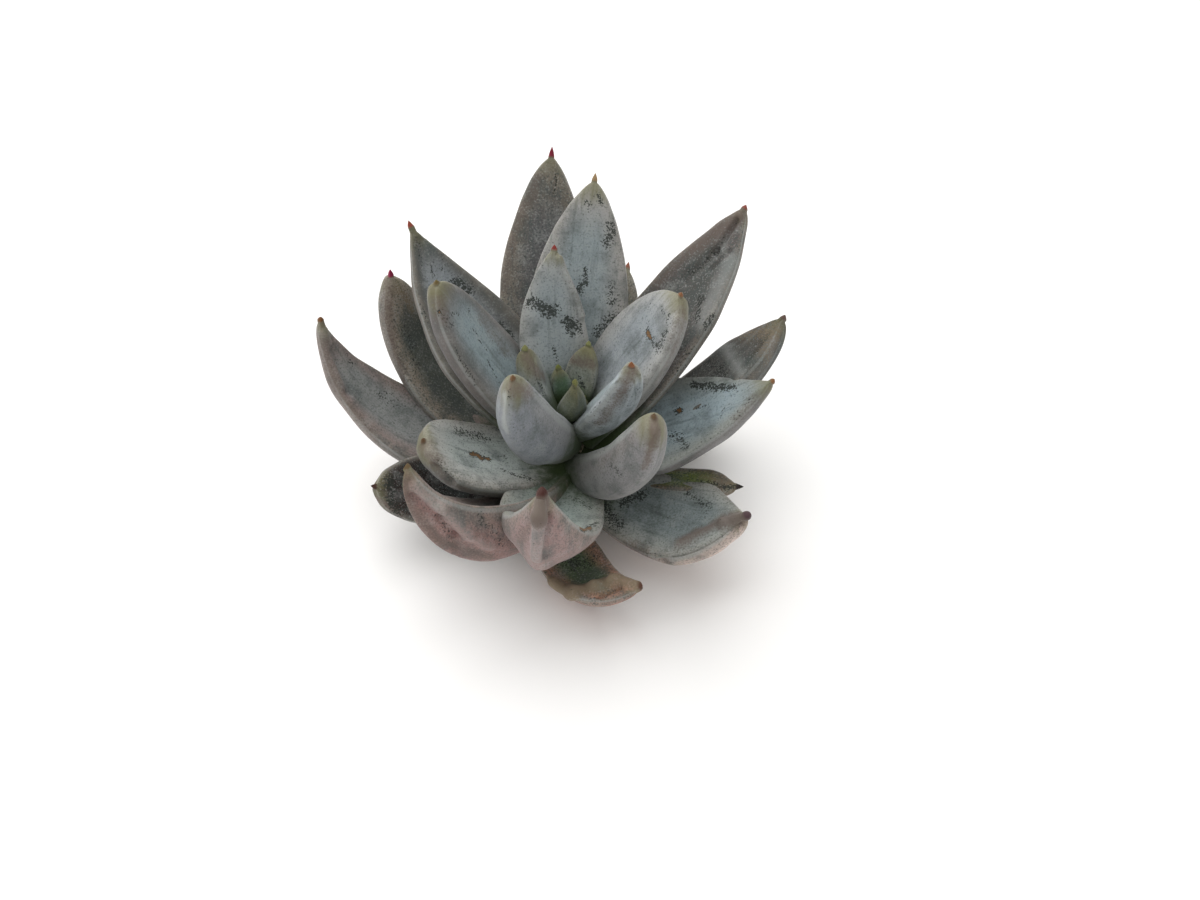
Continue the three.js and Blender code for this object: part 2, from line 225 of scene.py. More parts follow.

# What wear and age left on single leaves, with painted shade in their folds, as strokes placed on a 1200
# by 900 photo.
# x, y, to_x, to_y: the photo's pixels where the stroke starts and ends; it lies on the skin seen there.
# wide: half the stroke's breadth in millimetres.
Mark = namedtuple("Mark", "kind x y to_x to_y wide strength")
MARKS = {
    1: (
        Mark("worn", 566, 392, 582, 395, 0.6, 0.5),
    ),
    2: (
        Mark("worn", 576, 378, 583, 388, 0.6, 0.8),
        Mark("blush", 570, 360, 590, 366, 1.2, 0.64),
    ),
    3: (
        Mark("worn", 540, 380, 546, 395, 0.6, 0.6),
        Mark("blush", 526, 360, 545, 375, 1.5, 0.64),
        Mark("fold", 537, 355, 541, 395, 0.3, 0.6),
    ),
    4: (
        Mark("blush", 634, 370, 622, 396, 1.4, 0.64),
        Mark("blush", 622, 396, 600, 425, 1.4, 0.56),
        Mark("line", 588, 412, 598, 400, 0.2, 0.72),
        Mark("fold", 640, 385, 624, 420, 0.5, 0.4),
    ),
    5: (
        Mark("worn", 533, 305, 552, 312, 1.4, 1),
        Mark("worn", 545, 318, 556, 308, 1, 0.9),
        Mark("worn", 566, 323, 576, 329, 1.4, 1),
        Mark("worn", 572, 336, 566, 326, 1, 0.9),
        Mark("worn", 551, 268, 545, 285, 0.3, 0.6),
        Mark("worn", 564, 283, 572, 290, 0.3, 0.7),
        Mark("worn", 554, 350, 556, 362, 0.5, 0.9),
        Mark("ridge", 562, 258, 583, 318, 0.6, 0.7),
        Mark("blush", 562, 258, 583, 318, 0.7, 0.22),
    ),
    6: (
        Mark("blush", 514, 386, 532, 392, 1.7, 0.56),
        Mark("line", 507, 388, 511, 416, 0.3, 0.54),
        Mark("line", 511, 416, 519, 448, 0.3, 0.45),
        Mark("pale", 502, 395, 503, 430, 0.8, 0.72),
        Mark("worn", 556, 430, 572, 452, 0.9, 0.4),
    ),
    7: (
        Mark("scab", 645, 333, 648, 337, 0.5, 1),
        Mark("worn", 646, 328, 645, 337, 1, 0.8),
        Mark("worn", 648, 338, 655, 346, 0.9, 0.9),
        Mark("worn", 655, 350, 664, 332, 1, 0.85),
        Mark("worn", 660, 310, 667, 316, 0.6, 0.7),
        Mark("worn", 640, 322, 651, 298, 0.3, 0.6),
        Mark("worn", 665, 318, 667, 322, 0.6, 0.6),
        Mark("blush", 686, 308, 672, 352, 1.4, 0.4),
        Mark("ridge", 656, 366, 680, 320, 0.8, 0.5),
    ),
    8: (
        Mark("worn", 440, 313, 453, 325, 1, 0.6),
        Mark("worn", 455, 313, 461, 314, 0.8, 0.8),
        Mark("scab", 438, 313, 440, 314, 0.4, 0.8),
        Mark("line", 470, 303, 476, 330, 0.2, 0.81),
        Mark("line", 476, 330, 490, 353, 0.2, 0.81),
        Mark("line", 490, 361, 502, 382, 0.3, 0.9),
        Mark("line", 457, 347, 478, 383, 0.2, 0.72),
        Mark("worn", 462, 358, 476, 386, 0.6, 0.6),
        Mark("blush", 484, 320, 508, 352, 1.5, 0.4),
        Mark("blush", 442, 300, 446, 322, 1.4, 0.48),
    ),
    9: (
        Mark("worn", 606, 464, 616, 472, 1.4, 0.6),
        Mark("worn", 594, 452, 602, 448, 0.6, 0.6),
        Mark("blush", 655, 420, 651, 446, 1.1, 0.8),
        Mark("blush", 651, 446, 643, 470, 0.8, 0.64),
        Mark("blush", 630, 440, 600, 460, 1.7, 0.28),
        Mark("fold", 658, 440, 651, 468, 0.5, 0.5),
    ),
    10: (
        Mark("worn", 596, 197, 602, 207, 0.8, 0.8),
        Mark("worn", 587, 203, 589, 214, 0.6, 0.7),
        Mark("worn", 612, 229, 606, 245, 1.5, 0.85),
        Mark("worn", 584, 270, 580, 292, 0.8, 1),
        Mark("worn", 610, 290, 612, 304, 1.4, 0.75),
        Mark("worn", 617, 318, 596, 334, 1.6, 0.8),
    ),
    11: (
        Mark("scab", 474, 454, 489, 457, 0.7, 1),
        Mark("worn", 472, 453, 490, 457, 1.1, 0.6),
        Mark("worn", 460, 430, 488, 438, 1.6, 0.75),
        Mark("worn", 506, 470, 534, 478, 0.8, 0.8),
        Mark("worn", 500, 455, 512, 457, 0.5, 0.7),
        Mark("fold", 434, 466, 452, 484, 0.8, 1),
        Mark("worn", 436, 466, 452, 482, 0.8, 0.6),
        Mark("blush", 424, 446, 436, 460, 1.9, 0.56),
        Mark("ridge", 430, 450, 476, 476, 1.1, 0.8),
    ),
    12: (
        Mark("worn", 692, 384, 722, 387, 1, 1),
        Mark("worn", 715, 388, 733, 385, 0.9, 0.9),
        Mark("scab", 676, 409, 677, 410, 0.5, 1),
        Mark("worn", 675, 408, 678, 411, 1, 0.8),
        Mark("worn", 694, 409, 708, 404, 0.5, 0.9),
        Mark("worn", 722, 407, 719, 416, 0.6, 0.8),
        Mark("worn", 738, 409, 750, 397, 0.6, 0.6),
        Mark("worn", 672, 432, 684, 446, 1.4, 0.8),
        Mark("worn", 700, 440, 745, 418, 1.5, 0.35),
        Mark("blush", 752, 396, 735, 420, 1.5, 0.4),
        Mark("line", 726, 396, 745, 386, 0.2, 0.54),
    ),
    13: (
        Mark("worn", 455, 282, 472, 290, 1.4, 1),
        Mark("worn", 419, 240, 425, 262, 0.8, 0.5),
        Mark("worn", 434, 264, 435, 280, 0.5, 0.8),
        Mark("worn", 444, 256, 446, 268, 0.8, 0.6),
        Mark("worn", 418, 298, 428, 318, 0.9, 0.5),
        Mark("worn", 500, 325, 514, 338, 1.1, 0.9),
        Mark("fold", 424, 240, 426, 282, 0.8, 0.4),
    ),
    14: (
        Mark("scab", 584, 529, 590, 524, 0.5, 1),
        Mark("worn", 590, 524, 597, 520, 0.8, 0.9),
        Mark("worn", 502, 500, 512, 508, 0.9, 0.7),
        Mark("worn", 504, 519, 506, 521, 0.5, 0.8),
        Mark("worn", 574, 497, 590, 505, 1.1, 0.6),
        Mark("ridge", 544, 497, 538, 520, 1.4, 0.9),
        Mark("ridge", 538, 520, 535, 560, 1.4, 1),
        Mark("fold", 551, 515, 545, 560, 0.6, 1),
        Mark("blush", 545, 490, 541, 517, 1.9, 1),
        Mark("blush", 530, 515, 518, 545, 1.5, 0.48),
    ),
    15: (
        Mark("fold", 734, 220, 712, 254, 0.6, 1),
        Mark("fold", 712, 254, 683, 280, 0.9, 0.8),
        Mark("fold", 727, 252, 708, 270, 0.5, 0.5),
        Mark("worn", 712, 254, 690, 272, 0.8, 0.6),
        Mark("worn", 700, 298, 696, 318, 1.1, 0.8),
        Mark("worn", 712, 318, 703, 328, 1, 0.8),
        Mark("worn", 682, 345, 678, 372, 2.1, 0.5),
        Mark("pale", 730, 262, 700, 320, 1.7, 0.4),
        Mark("blush", 737, 213, 690, 248, 2, 0.64),
        Mark("blush", 690, 248, 650, 284, 1.5, 0.48),
    ),
    16: (
        Mark("worn", 424, 402, 440, 408, 1.4, 0.6),
        Mark("worn", 380, 394, 402, 402, 1.5, 0.5),
        Mark("worn", 347, 352, 358, 368, 0.8, 0.5),
        Mark("blush", 318, 340, 334, 390, 1.5, 0.64),
        Mark("blush", 334, 390, 372, 440, 1.2, 0.56),
        Mark("ridge", 322, 335, 345, 385, 0.9, 0.8),
        Mark("fold", 334, 350, 352, 392, 0.8, 0.8),
    ),
    17: (
        Mark("worn", 602, 500, 618, 524, 1.8, 0.8),
        Mark("worn", 625, 500, 645, 492, 1.5, 0.8),
        Mark("worn", 686, 489, 708, 506, 1.1, 0.7),
        Mark("worn", 706, 508, 703, 518, 0.6, 0.6),
        Mark("line", 647, 541, 671, 540, 0.2, 0.54),
        Mark("blush", 746, 514, 722, 520, 2, 1),
        Mark("blush", 722, 520, 680, 541, 1.7, 0.8),
        Mark("ridge", 744, 514, 722, 521, 0.9, 0.8),
        Mark("ridge", 722, 521, 676, 543, 0.9, 0.8),
        Mark("fold", 742, 526, 700, 550, 0.7, 0.9),
        Mark("fold", 700, 550, 660, 563, 0.7, 0.8),
        Mark("blush", 640, 552, 625, 548, 1.7, 0.48),
        Mark("worn", 638, 558, 656, 556, 0.8, 0.6),
    ),
    18: (
        Mark("line", 555, 177, 553, 196, 0.2, 0.81),
        Mark("blush", 535, 180, 510, 232, 1.5, 0.48),
        Mark("blush", 510, 232, 502, 288, 1.4, 0.48),
    ),
    19: (
        Mark("blush", 402, 482, 412, 512, 1.4, 0.64),
        Mark("blush", 412, 512, 442, 546, 1.5, 0.64),
        Mark("blush", 442, 546, 490, 560, 1.4, 0.56),
        Mark("fold", 413, 497, 440, 520, 0.8, 0.9),
        Mark("fold", 440, 520, 456, 538, 0.7, 1),
        Mark("fold", 456, 538, 460, 556, 0.7, 0.8),
        Mark("ridge", 416, 488, 441, 510, 1.1, 1),
        Mark("ridge", 441, 510, 470, 536, 1.1, 1),
        Mark("ridge", 470, 536, 492, 548, 0.9, 0.8),
        Mark("worn", 438, 518, 454, 540, 1.1, 0.5),
        Mark("worn", 482, 520, 508, 545, 1.8, 0.5),
    ),
    20: (
        Mark("pale", 722, 344, 738, 370, 1.2, 0.48),
        Mark("sand", 745, 332, 775, 330, 2.9, 0.4),
        Mark("sand", 770, 330, 768, 360, 2.2, 0.35),
        Mark("worn", 704, 360, 722, 372, 1.8, 0.7),
    ),
    21: (
        Mark("blush", 386, 282, 390, 340, 1.5, 0.64),
        Mark("blush", 390, 340, 402, 385, 1.2, 0.64),
        Mark("sand", 400, 290, 414, 310, 1, 0.4),
        Mark("worn", 408, 330, 420, 370, 1.5, 0.5),
    ),
    22: (
        Mark("sand", 549, 580, 572, 590, 1.4, 0.8),
        Mark("sand", 572, 590, 594, 586, 1.5, 0.8),
        Mark("sand", 594, 584, 613, 578, 1.4, 0.8),
        Mark("sand", 613, 578, 636, 582, 1.5, 0.72),
        Mark("ridge", 551, 583, 572, 590, 1.2, 1),
        Mark("ridge", 572, 590, 594, 585, 1.2, 1),
        Mark("ridge", 594, 585, 613, 578, 1.1, 1),
        Mark("ridge", 613, 578, 634, 582, 1.1, 1),
        Mark("fold", 592, 597, 618, 586, 0.5, 1),
        Mark("worn", 560, 560, 590, 560, 2.4, 0.6),
    ),
    24: (
        Mark("worn", 392, 480, 398, 520, 1.5, 0.8),
        Mark("blush", 375, 500, 400, 520, 1, 0.64),
    ),
    25: (
        Mark("sand", 700, 474, 730, 482, 0.8, 0.4),
        Mark("worn", 690, 480, 735, 486, 0.9, 0.8),
    ),
}
# Straight pieces in a stroke, how many pixels off its line the skin is looked for, and how near,
# in square millimetres, the two ends of a piece count as one point
STROKE_STEPS = 5
PIXEL_SLACK = 2.5
SAME_POINT = 1e-9
# Each kind of mark: the value that it raises, by which share, how far it lifts the skin in
# millimetres, and whether its outline is ragged
MARK_KINDS = {
    "worn": ("worn", 1, -0.03, True),
    "line": ("worn", 1, -0.06, False),
    # A fold dents the skin and darkens its crease a little with the bare-skin tone: painted shade in the
    # crease.
    "fold": ("worn", 0.3, -0.5, False),
    "scab": ("scab", 1, -0.06, True),
    "ridge": ("pale", 0.25, 0.45, False),
    "blush": ("blush", 1, 0, True),
    "sand": ("sand", 1, 0, True),
    "pale": ("pale", 1, 0, True),
}

# The stage in metres and watts: the floor's half width and how far it lies below the part, and
# the lights by name, place, size and power
FLOOR_REACH = 1.5
FLOOR_DROP = 0.05 * MM
LIGHTS = (
    ("window", (-0.2, 0.3, 0.5), 1.1, 7.3),
    ("room", (0.35, -0.45, 0.45), 0.6, 0.5),
)


def linear(code):
    """An sRGB hex colour as the linear RGBA that Blender works in."""
    channels = (int(code[i : i + 2], 16) / 255 for i in (1, 3, 5))
    return (*(c / 12.92 if c <= 0.04045 else ((c + 0.055) / 1.055) ** 2.4 for c in channels), 1)


def length(name, description, millimetres):
    """A size that the panel shows as a length."""
    return FloatProperty(
        name=name,
        description=description,
        default=millimetres * MM,
        subtype="DISTANCE",
        unit="LENGTH",
    )


def colour(name, description, code):
    """A colour that the panel shows as a swatch."""
    return FloatVectorProperty(
        name=name, description=description, default=linear(code), size=4, subtype="COLOR"
    )


class RosetteSizes(bpy.types.PropertyGroup):
    """Sizes that hold for every leaf"""

    spiral_step: FloatProperty(
        name="Spiral step",
        description="Turn from one leaf to the next one out",
        default=math.radians(137.5),
        subtype="ANGLE",
    )
    claw_radius: length("Claw radius", "Half the thickness of the point at a leaf's tip", 0.32)
    grain: length("Wax grain", "Size of the grains of wax in the bloom", 0.2)
    mottling: length("Mottling", "Size of the cloudy patches in the bloom", 2.6)


class RosetteColours(bpy.types.PropertyGroup):
    """Colours that hold for every leaf, for the stem and for the floor"""

    # Also laid thinly along folds as painted shade in the crease.
    worn: colour("Worn skin", "Bare green skin where the wax is rubbed off", "#2a2f2a")
    # Dark green at the leaves' roots: their green flesh, darkened with painted shade where the leaves
    # crowd together.
    root: colour("Leaf base and crevice shade", "Green flesh where a leaf leaves the stem", "#3d4b2c")
    tip: colour("Leaf tip", "Yellow-green skin just below the claw", "#736f4e")
    rim: colour("Leaf edge", "Beige wax along a leaf's edge", "#877f75")
    # This pale tone is also laid as a painted highlight: a thin pale line along each leaf's edge,
    # standing in for rim light.
    thin_wax: colour("Thin wax", "Green-grey skin showing through thin wax", "#4c5452")
    thick_wax_and_rim_highlight: colour("Thick wax", "Pale flecks where the wax is thickest", "#a3a7a4")
    blush: colour("Blush", "Pinkish-brown tinge on sunlit ridges and edges", "#675a52")
    sand: colour("Sandy wax", "Coarse sandy wax on old, rolled edges", "#857660")
    scab: colour("Scab", "Orange-brown cork over an old wound", "#765737")
    stem: colour("Stem bark", "Corky bark on the cut stem", "#857760")
    dry_bark: colour("Dry bark", "Paler bark where the stem has dried", "#a39a83")
    fissure: colour("Fissures", "Dark cracks between the fibres of the bark", "#453a2c")
    floor: colour("Floor", "Plain pale floor under the rosette", "#fbfaf8")


# Sockets of the Mix node in its colour mode, whose names repeat for each of its types
MIX_FACTOR, MIX_A, MIX_B = 0, 6, 7
SMOOTHSTEP = {"interpolation_type": "SMOOTHSTEP"}
COLOUR_MIX = {"data_type": "RGBA"}


def add_node(tree, name, kind, inputs=None, settings=None):
    """Add a named node: inputs are values or names of nodes to link, settings are its own properties.

    A linked name may end in a colon and an output. Without one, the first live output is linked.
    """
    node = tree.nodes.new(kind)
    node.name = node.label = name
    for key, value in (settings or {}).items():
        setattr(node, key, value)
    for key, value in (inputs or {}).items():
        if not isinstance(value, str):
            node.inputs[key].default_value = value
            continue
        source, _, output = value.partition(":")
        outputs = tree.nodes[source].outputs
        live = outputs[output] if output else next(each for each in outputs if each.enabled)
        tree.links.new(live, node.inputs[key])


def add_sums(tree, rows):
    """Add Math nodes, each from its name, its operation and its inputs in their order."""
    for name, operation, *values in rows:
        add_node(tree, name, "ShaderNodeMath", dict(enumerate(values)), {"operation": operation})


def layer_tones(tree, base, layers):
    """Lay tones over a base colour, each by its mask, and return the name of the topmost node."""
    for i, (tone, mask) in enumerate(layers):
        name = f"layer {i}"
        inputs = {MIX_FACTOR: mask, MIX_A: base, MIX_B: tone}
        add_node(tree, name, "ShaderNodeMix", inputs, COLOUR_MIX)
        base = name
    return base


def new_tree(name):
    """A material with an empty node tree."""
    material = bpy.data.materials.new(name)
    material.use_nodes = True
    material.node_tree.nodes.clear()
    return material, material.node_tree


def smooth(value):
    value = min(1, max(0, value))
    return value * value * (3 - 2 * value)


def signed_power(value, power):
    return math.copysign(abs(value) ** power, value)


def heading(leaf, run, spiral_step):
    """The rise and the turn of a leaf's centreline, where run goes from 0 at the root to 1 at its end."""
    turn = SPIRAL_START + math.degrees(spiral_step) * leaf.order + leaf.lean
    return (
        math.radians(leaf.lift + leaf.curl * run**leaf.late),
        math.radians(turn + leaf.sway * run**SWAY_POWER),
    )


def direction(rise, turn):
    return Vector((math.cos(rise) * math.cos(turn), math.cos(rise) * math.sin(turn), math.sin(rise)))


def centreline(leaf, spiral_step):
    """Points along a leaf's centreline, a short step apart."""
    turn = heading(leaf, 0, spiral_step)[1]
    points = [Vector((ROOT_RADIUS * math.cos(turn), ROOT_RADIUS * math.sin(turn), leaf.foot))]
    for i in range(PATH_STEPS):
        step = direction(*heading(leaf, (i + 0.5) / PATH_STEPS, spiral_step))
        points.append(points[-1] + step * (leaf.length / PATH_STEPS))
    return points


def width_share(leaf, along):
    """Width of the blade as a share, where along goes from 0 at the root to 1 where the claw starts."""
    if along < leaf.broad:
        return leaf.base + (1 - leaf.base) * math.sin(along / leaf.broad * math.pi / 2) ** ROOT_FLARE
    past = (along - leaf.broad) / (1 - leaf.broad)
    return (1 - past**leaf.tip) ** leaf.blunt


Station = namedtuple("Station", "run along middle across up half deep cup keel")


def station(leaf, points, run, sizes):
    """The place, the directions and the section's sizes of a leaf at one point of its centreline."""
    claw_start = 1 - leaf.claw / leaf.length
    along = min(1, run / claw_start)
    share = width_share(leaf, along)
    past = max(0, (run - claw_start) / (1 - claw_start))
    claw = sizes.claw_radius / MM * (1 - past**CLAW_ROUNDING)
    full = share**TIP_THINNING
    if along < leaf.broad:
        full = ROOT_THICKNESS + (1 - ROOT_THICKNESS) * min(1, along / FULL_THICKNESS_AT)
    rise, turn = heading(leaf, run, sizes.spiral_step)
    out = direction(rise, turn)
    across = Vector((-math.sin(turn), math.cos(turn), 0))
    rolled = Matrix.Rotation(math.radians(leaf.roll), 3, out)
    step = run * PATH_STEPS
    i = min(PATH_STEPS - 1, int(step))
    return Station(
        run,
        along,
        points[i].lerp(points[i + 1], step - i),
        rolled @ across,
        rolled @ out.cross(across),
        max(leaf.width / 2 * share, claw),
        max(leaf.thick * full, 2 * claw),
        leaf.cup * math.sin(math.pi * min(1, along * CUP_STRETCH)) ** CUP_FULLNESS,
        leaf.keel * smooth((along - KEEL_START) / KEEL_RISE),
    )


def section_point(place, angle):
    """A point on a leaf's section, in millimetres across and up from its middle."""
    cosine = math.cos(angle)
    sine = math.sin(angle)
    edge = place.half * place.cup * ((1 + CUP_SINK) * cosine * cosine - CUP_SINK)
    above = UPPER_SHARE * sine**UPPER_POWER if sine > 0 else -UNDER_SHARE * abs(sine) ** UNDER_POWER
    ridge = place.keel * place.deep * math.exp(-((cosine / KEEL_WIDTH) ** 2)) if sine < 0 else 0
    return place.half * signed_power(cosine, SIDE_POWER), place.deep * above + edge - ridge


def leaf_places(leaf, points, rings, sizes):
    """Stations from the root to the claw's end, closer together towards the tip."""
    claw_start = 1 - leaf.claw / leaf.length
    places = [claw_start * (1 - (1 - i / rings) ** TIP_CROWDING) for i in range(rings + 1)]
    places += [claw_start + (1 - claw_start) * (i + 1) / CLAW_RINGS for i in range(CLAW_RINGS)]
    return [station(leaf, points, run, sizes) for run in places]


def photo_places(facts):
    """A leaf's points that face the camera, by the photo's pixel that each shows at, and their depths."""
    turn = Matrix.Rotation(-CAMERA_TILT, 3, "X")
    width, height = PHOTO_SIZE
    zoom = width * CAMERA_LENS / CAMERA_SENSOR
    seen = kdtree.KDTree(len(facts))
    depths = {}
    for i, (vert, *_) in enumerate(facts):
        sight = vert.co - CAMERA_PLACE
        if vert.normal.dot(sight) < 0:
            x, y, depth = turn @ sight
            depths[i] = -depth
            seen.insert((width / 2 - zoom * x / depth, height / 2 + zoom * y / depth, 0), i)
    seen.balance()
    return seen, depths


def stroke(mark, facts, seen, depths):
    """Short straight pieces of a mark's stroke over the leaf's skin."""
    start, end = Vector((mark.x, mark.y, 0)), Vector((mark.to_x, mark.to_y, 0))
    path = []
    for i in range(STROKE_STEPS + 1):
        pixel = start.lerp(end, i / STROKE_STEPS)
        near = seen.find_range(pixel, PIXEL_SLACK) or [seen.find(pixel)]
        front = min((index for _, index, _ in near), key=depths.get)
        path.append(facts[front][0].co / MM)
    return list(zip(path, path[1:]))


def nearness(spot, pieces, wide):
    """How far a spot lies inside a stroke, from 0 outside it to 1 along its middle."""
    nearest = wide
    for start, end in pieces:
        line = end - start
        share = (spot - start).dot(line) / max(line.length_squared, SAME_POINT)
        nearest = min(nearest, (spot - start - line * min(1, max(0, share))).length)
    return smooth(1 - nearest / wide)


# Values that a leaf's mesh carries for its material, and its tones
MARKED = ("worn", "scab", "blush", "sand", "pale")
VALUES = ("along", "across", "side", "upper", "claw", *MARKED)
TONES = ("bloom", "hollow", "under", "claw_tone")


def leaf_mesh(name, leaf, sizes):
    """A leaf's fine skin: a sphere whose rings are laid along the centreline, then wrinkled."""
    look = LOOKS[leaf.order]
    sides, rings = SMALL_CUTS if look.finish == "heart" else FULL_CUTS
    points = centreline(leaf, sizes.spiral_step)
    places = leaf_places(leaf, points, rings, sizes)
    last_ring = len(places)
    mesh = bmesh.new()
    bmesh.ops.create_uvsphere(mesh, u_segments=sides, v_segments=last_ring, radius=1)
    layers = {value: mesh.verts.layers.float.new(value) for value in VALUES}
    skin = mesh.verts.layers.float_vector.new("skin")
    facts = []
    for vert in mesh.verts:
        ring = round(math.acos(max(-1, min(1, -vert.co.z))) / math.pi * last_ring)
        angle = math.atan2(vert.co.y, vert.co.x)
        place = places[max(ring - 1, 0)]
        at_pole = ring in (0, last_ring)
        x, z = (0, 0) if at_pole else section_point(place, angle)
        side = 0 if at_pole else math.sin(angle)
        across = 0 if at_pole else x / place.half
        claw = place.run * leaf.length - leaf.length + leaf.claw
        vert.co = (place.middle + place.across * x + place.up * z) * MM
        vert[layers["along"]] = place.along
        vert[layers["across"]] = across
        vert[layers["side"]] = side
        vert[layers["upper"]] = smooth(side * 2 + 0.5)
        vert[layers["claw"]] = smooth((claw + CLAW_TONE_EARLY) / CLAW_TONE_FADE)
        vert[skin] = Vector((x, place.run * leaf.length, side)) * MM
        facts.append((vert, place, across, side))
    mesh.normal_update()
    seen, depths = photo_places(facts)
    marks = [(mark, stroke(mark, facts, seen, depths)) for mark in MARKS.get(leaf.order, ())]
    wrinkle(facts, leaf, look, marks, layers)
    data = bpy.data.meshes.new(name)
    mesh.to_mesh(data)
    mesh.free()
    data.shade_smooth()
    for tone, code in zip(TONES, (look.bloom, look.hollow, look.under, look.claw)):
        layer = data.attributes.new(tone, "FLOAT_COLOR", "POINT")
        layer.data.foreach_set("color", linear(code) * len(data.vertices))
    return data


def wrinkle(facts, leaf, look, marks, layers):
    """Move a leaf's skin along its normals: broad unevenness, wrinkles along it, and its marks."""
    seed = Vector((*(leaf.order * step for step in NOISE_STEPS), 0))
    noise.seed_set(NOISE_SEED)
    moves = []
    for vert, place, across, side in facts:
        blade = 1 - vert[layers["claw"]]
        spot = vert.co / MM
        strayed = spot + noise.noise_vector(spot / STRAY_SIZE + seed) * STRAY_REACH
        lengthwise = place.run * leaf.length / WRINKLE_LENGTH
        broad = noise.noise(spot / SWELL_SIZE + seed) * SWELL_HEIGHT
        ridges = Vector((across * place.half / WRINKLE_GAP, lengthwise, side))
        lines = noise.noise(ridges + seed) * look.wrinkle
        height = (broad + lines) * blade * smooth(place.along / SMOOTH_ROOT)
        for mark, pieces in marks:
            reach = mark.wide + (pieces[-1][1] - pieces[0][0]).length
            if (spot - pieces[0][0]).length > reach:
                continue
            value, share, lift, ragged = MARK_KINDS[mark.kind]
            depth = nearness(strayed if ragged else spot, pieces, mark.wide) * mark.strength
            height += lift * depth
            vert[layers[value]] = max(vert[layers[value]], share * depth)
        moves.append((vert, vert.normal * height * MM))
    for vert, move in moves:
        vert.co += move


def dress(data, name, material, replaced):
    """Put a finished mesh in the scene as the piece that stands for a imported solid."""
    data.materials.append(material)
    piece = bpy.data.objects.new(name, data)
    bpy.context.collection.objects.link(piece)
    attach(piece, "root")
    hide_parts(replaced)


# How each kind of skin looks. patchy: strength of the cloudy patches; speckled: strength of the
# fine grain; rim: strength of the beige edge; worn: how readily the wax is off where it is rubbed;
# green: how far up the blade the dark green base reaches, which is the leaf's green flesh darkened
# with painted shade where the leaves crowd at their roots; ripe: where the yellow-green tip starts;
# tip: how strong that is; roughness, sheen: of the waxy surface.
Finish = namedtuple("Finish", "name patchy speckled rim worn green ripe tip roughness sheen")
FINISHES = {
    "heart": Finish("heart_leaf_skin", 0.8, 0.45, 0.2, 0.3, 0.62, 0.6, 0.9, 0.5, 0.05),
    "young": Finish("waxy_leaf_skin", 0.5, 0.4, 0.3, 0.15, 0.36, 0.9, 0.75, 0.55, 0.1),
    "outer": Finish("granular_leaf_skin", 0.55, 0.55, 0.6, 0.25, 0.38, 0.92, 0.6, 0.6, 0.08),
    "old": Finish("weathered_leaf_skin", 0.6, 0.9, 0.8, 0.35, 0.36, 0.94, 0.45, 0.65, 0.05),
}
# Worn patches, and streaks that run along a leaf, this far apart and this long
PATCH_SIZE = 0.9 * MM
STREAK_GAP = 0.6 * MM
STREAK_LENGTH = 7 * MM
# Where wear, patches and grain add up to bare skin, and how far a finish's wear brings that down
BARE_FROM = 2.22
BARE_TO = 2.5
BARE_SHIFT = 0.2
# Relief: the dip of bare spots and the rise of the grain, both against the patches, and its height
BARE_DIP = -0.4
GRAIN_RELIEF = 0.7
RELIEF_HEIGHT = 0.08 * MM
# How much glossier bare skin is
BARE_GLOSS = 0.15


def skin_textures(tree, sizes):
    """What the mask nodes read: the values and tones that a leaf carries, and four kinds of noise."""
    add_node(tree, "place", "ShaderNodeTexCoord")
    for name in (*VALUES, *TONES, "skin"):
        add_node(tree, name, "ShaderNodeAttribute", settings={"attribute_name": name})
    streak_scale = (1 / STREAK_GAP, 1 / STREAK_LENGTH, 1 / MM)
    add_node(tree, "drawn", "ShaderNodeMapping", {"Vector": "skin:Vector", "Scale": streak_scale})
    for name, vector, size, detail, rough in (
        ("grain", "place:Object", sizes.grain, 2, 0.6),
        ("cloud", "place:Object", sizes.mottling, 4, 0.6),
        ("patch", "place:Object", PATCH_SIZE, 4, 0.7),
        ("streak", "drawn", 1, 3, 0.6),
    ):
        inputs = {"Vector": vector, "Scale": 1 / size, "Detail": detail, "Roughness": rough}
        add_node(tree, name, "ShaderNodeTexNoise", inputs)


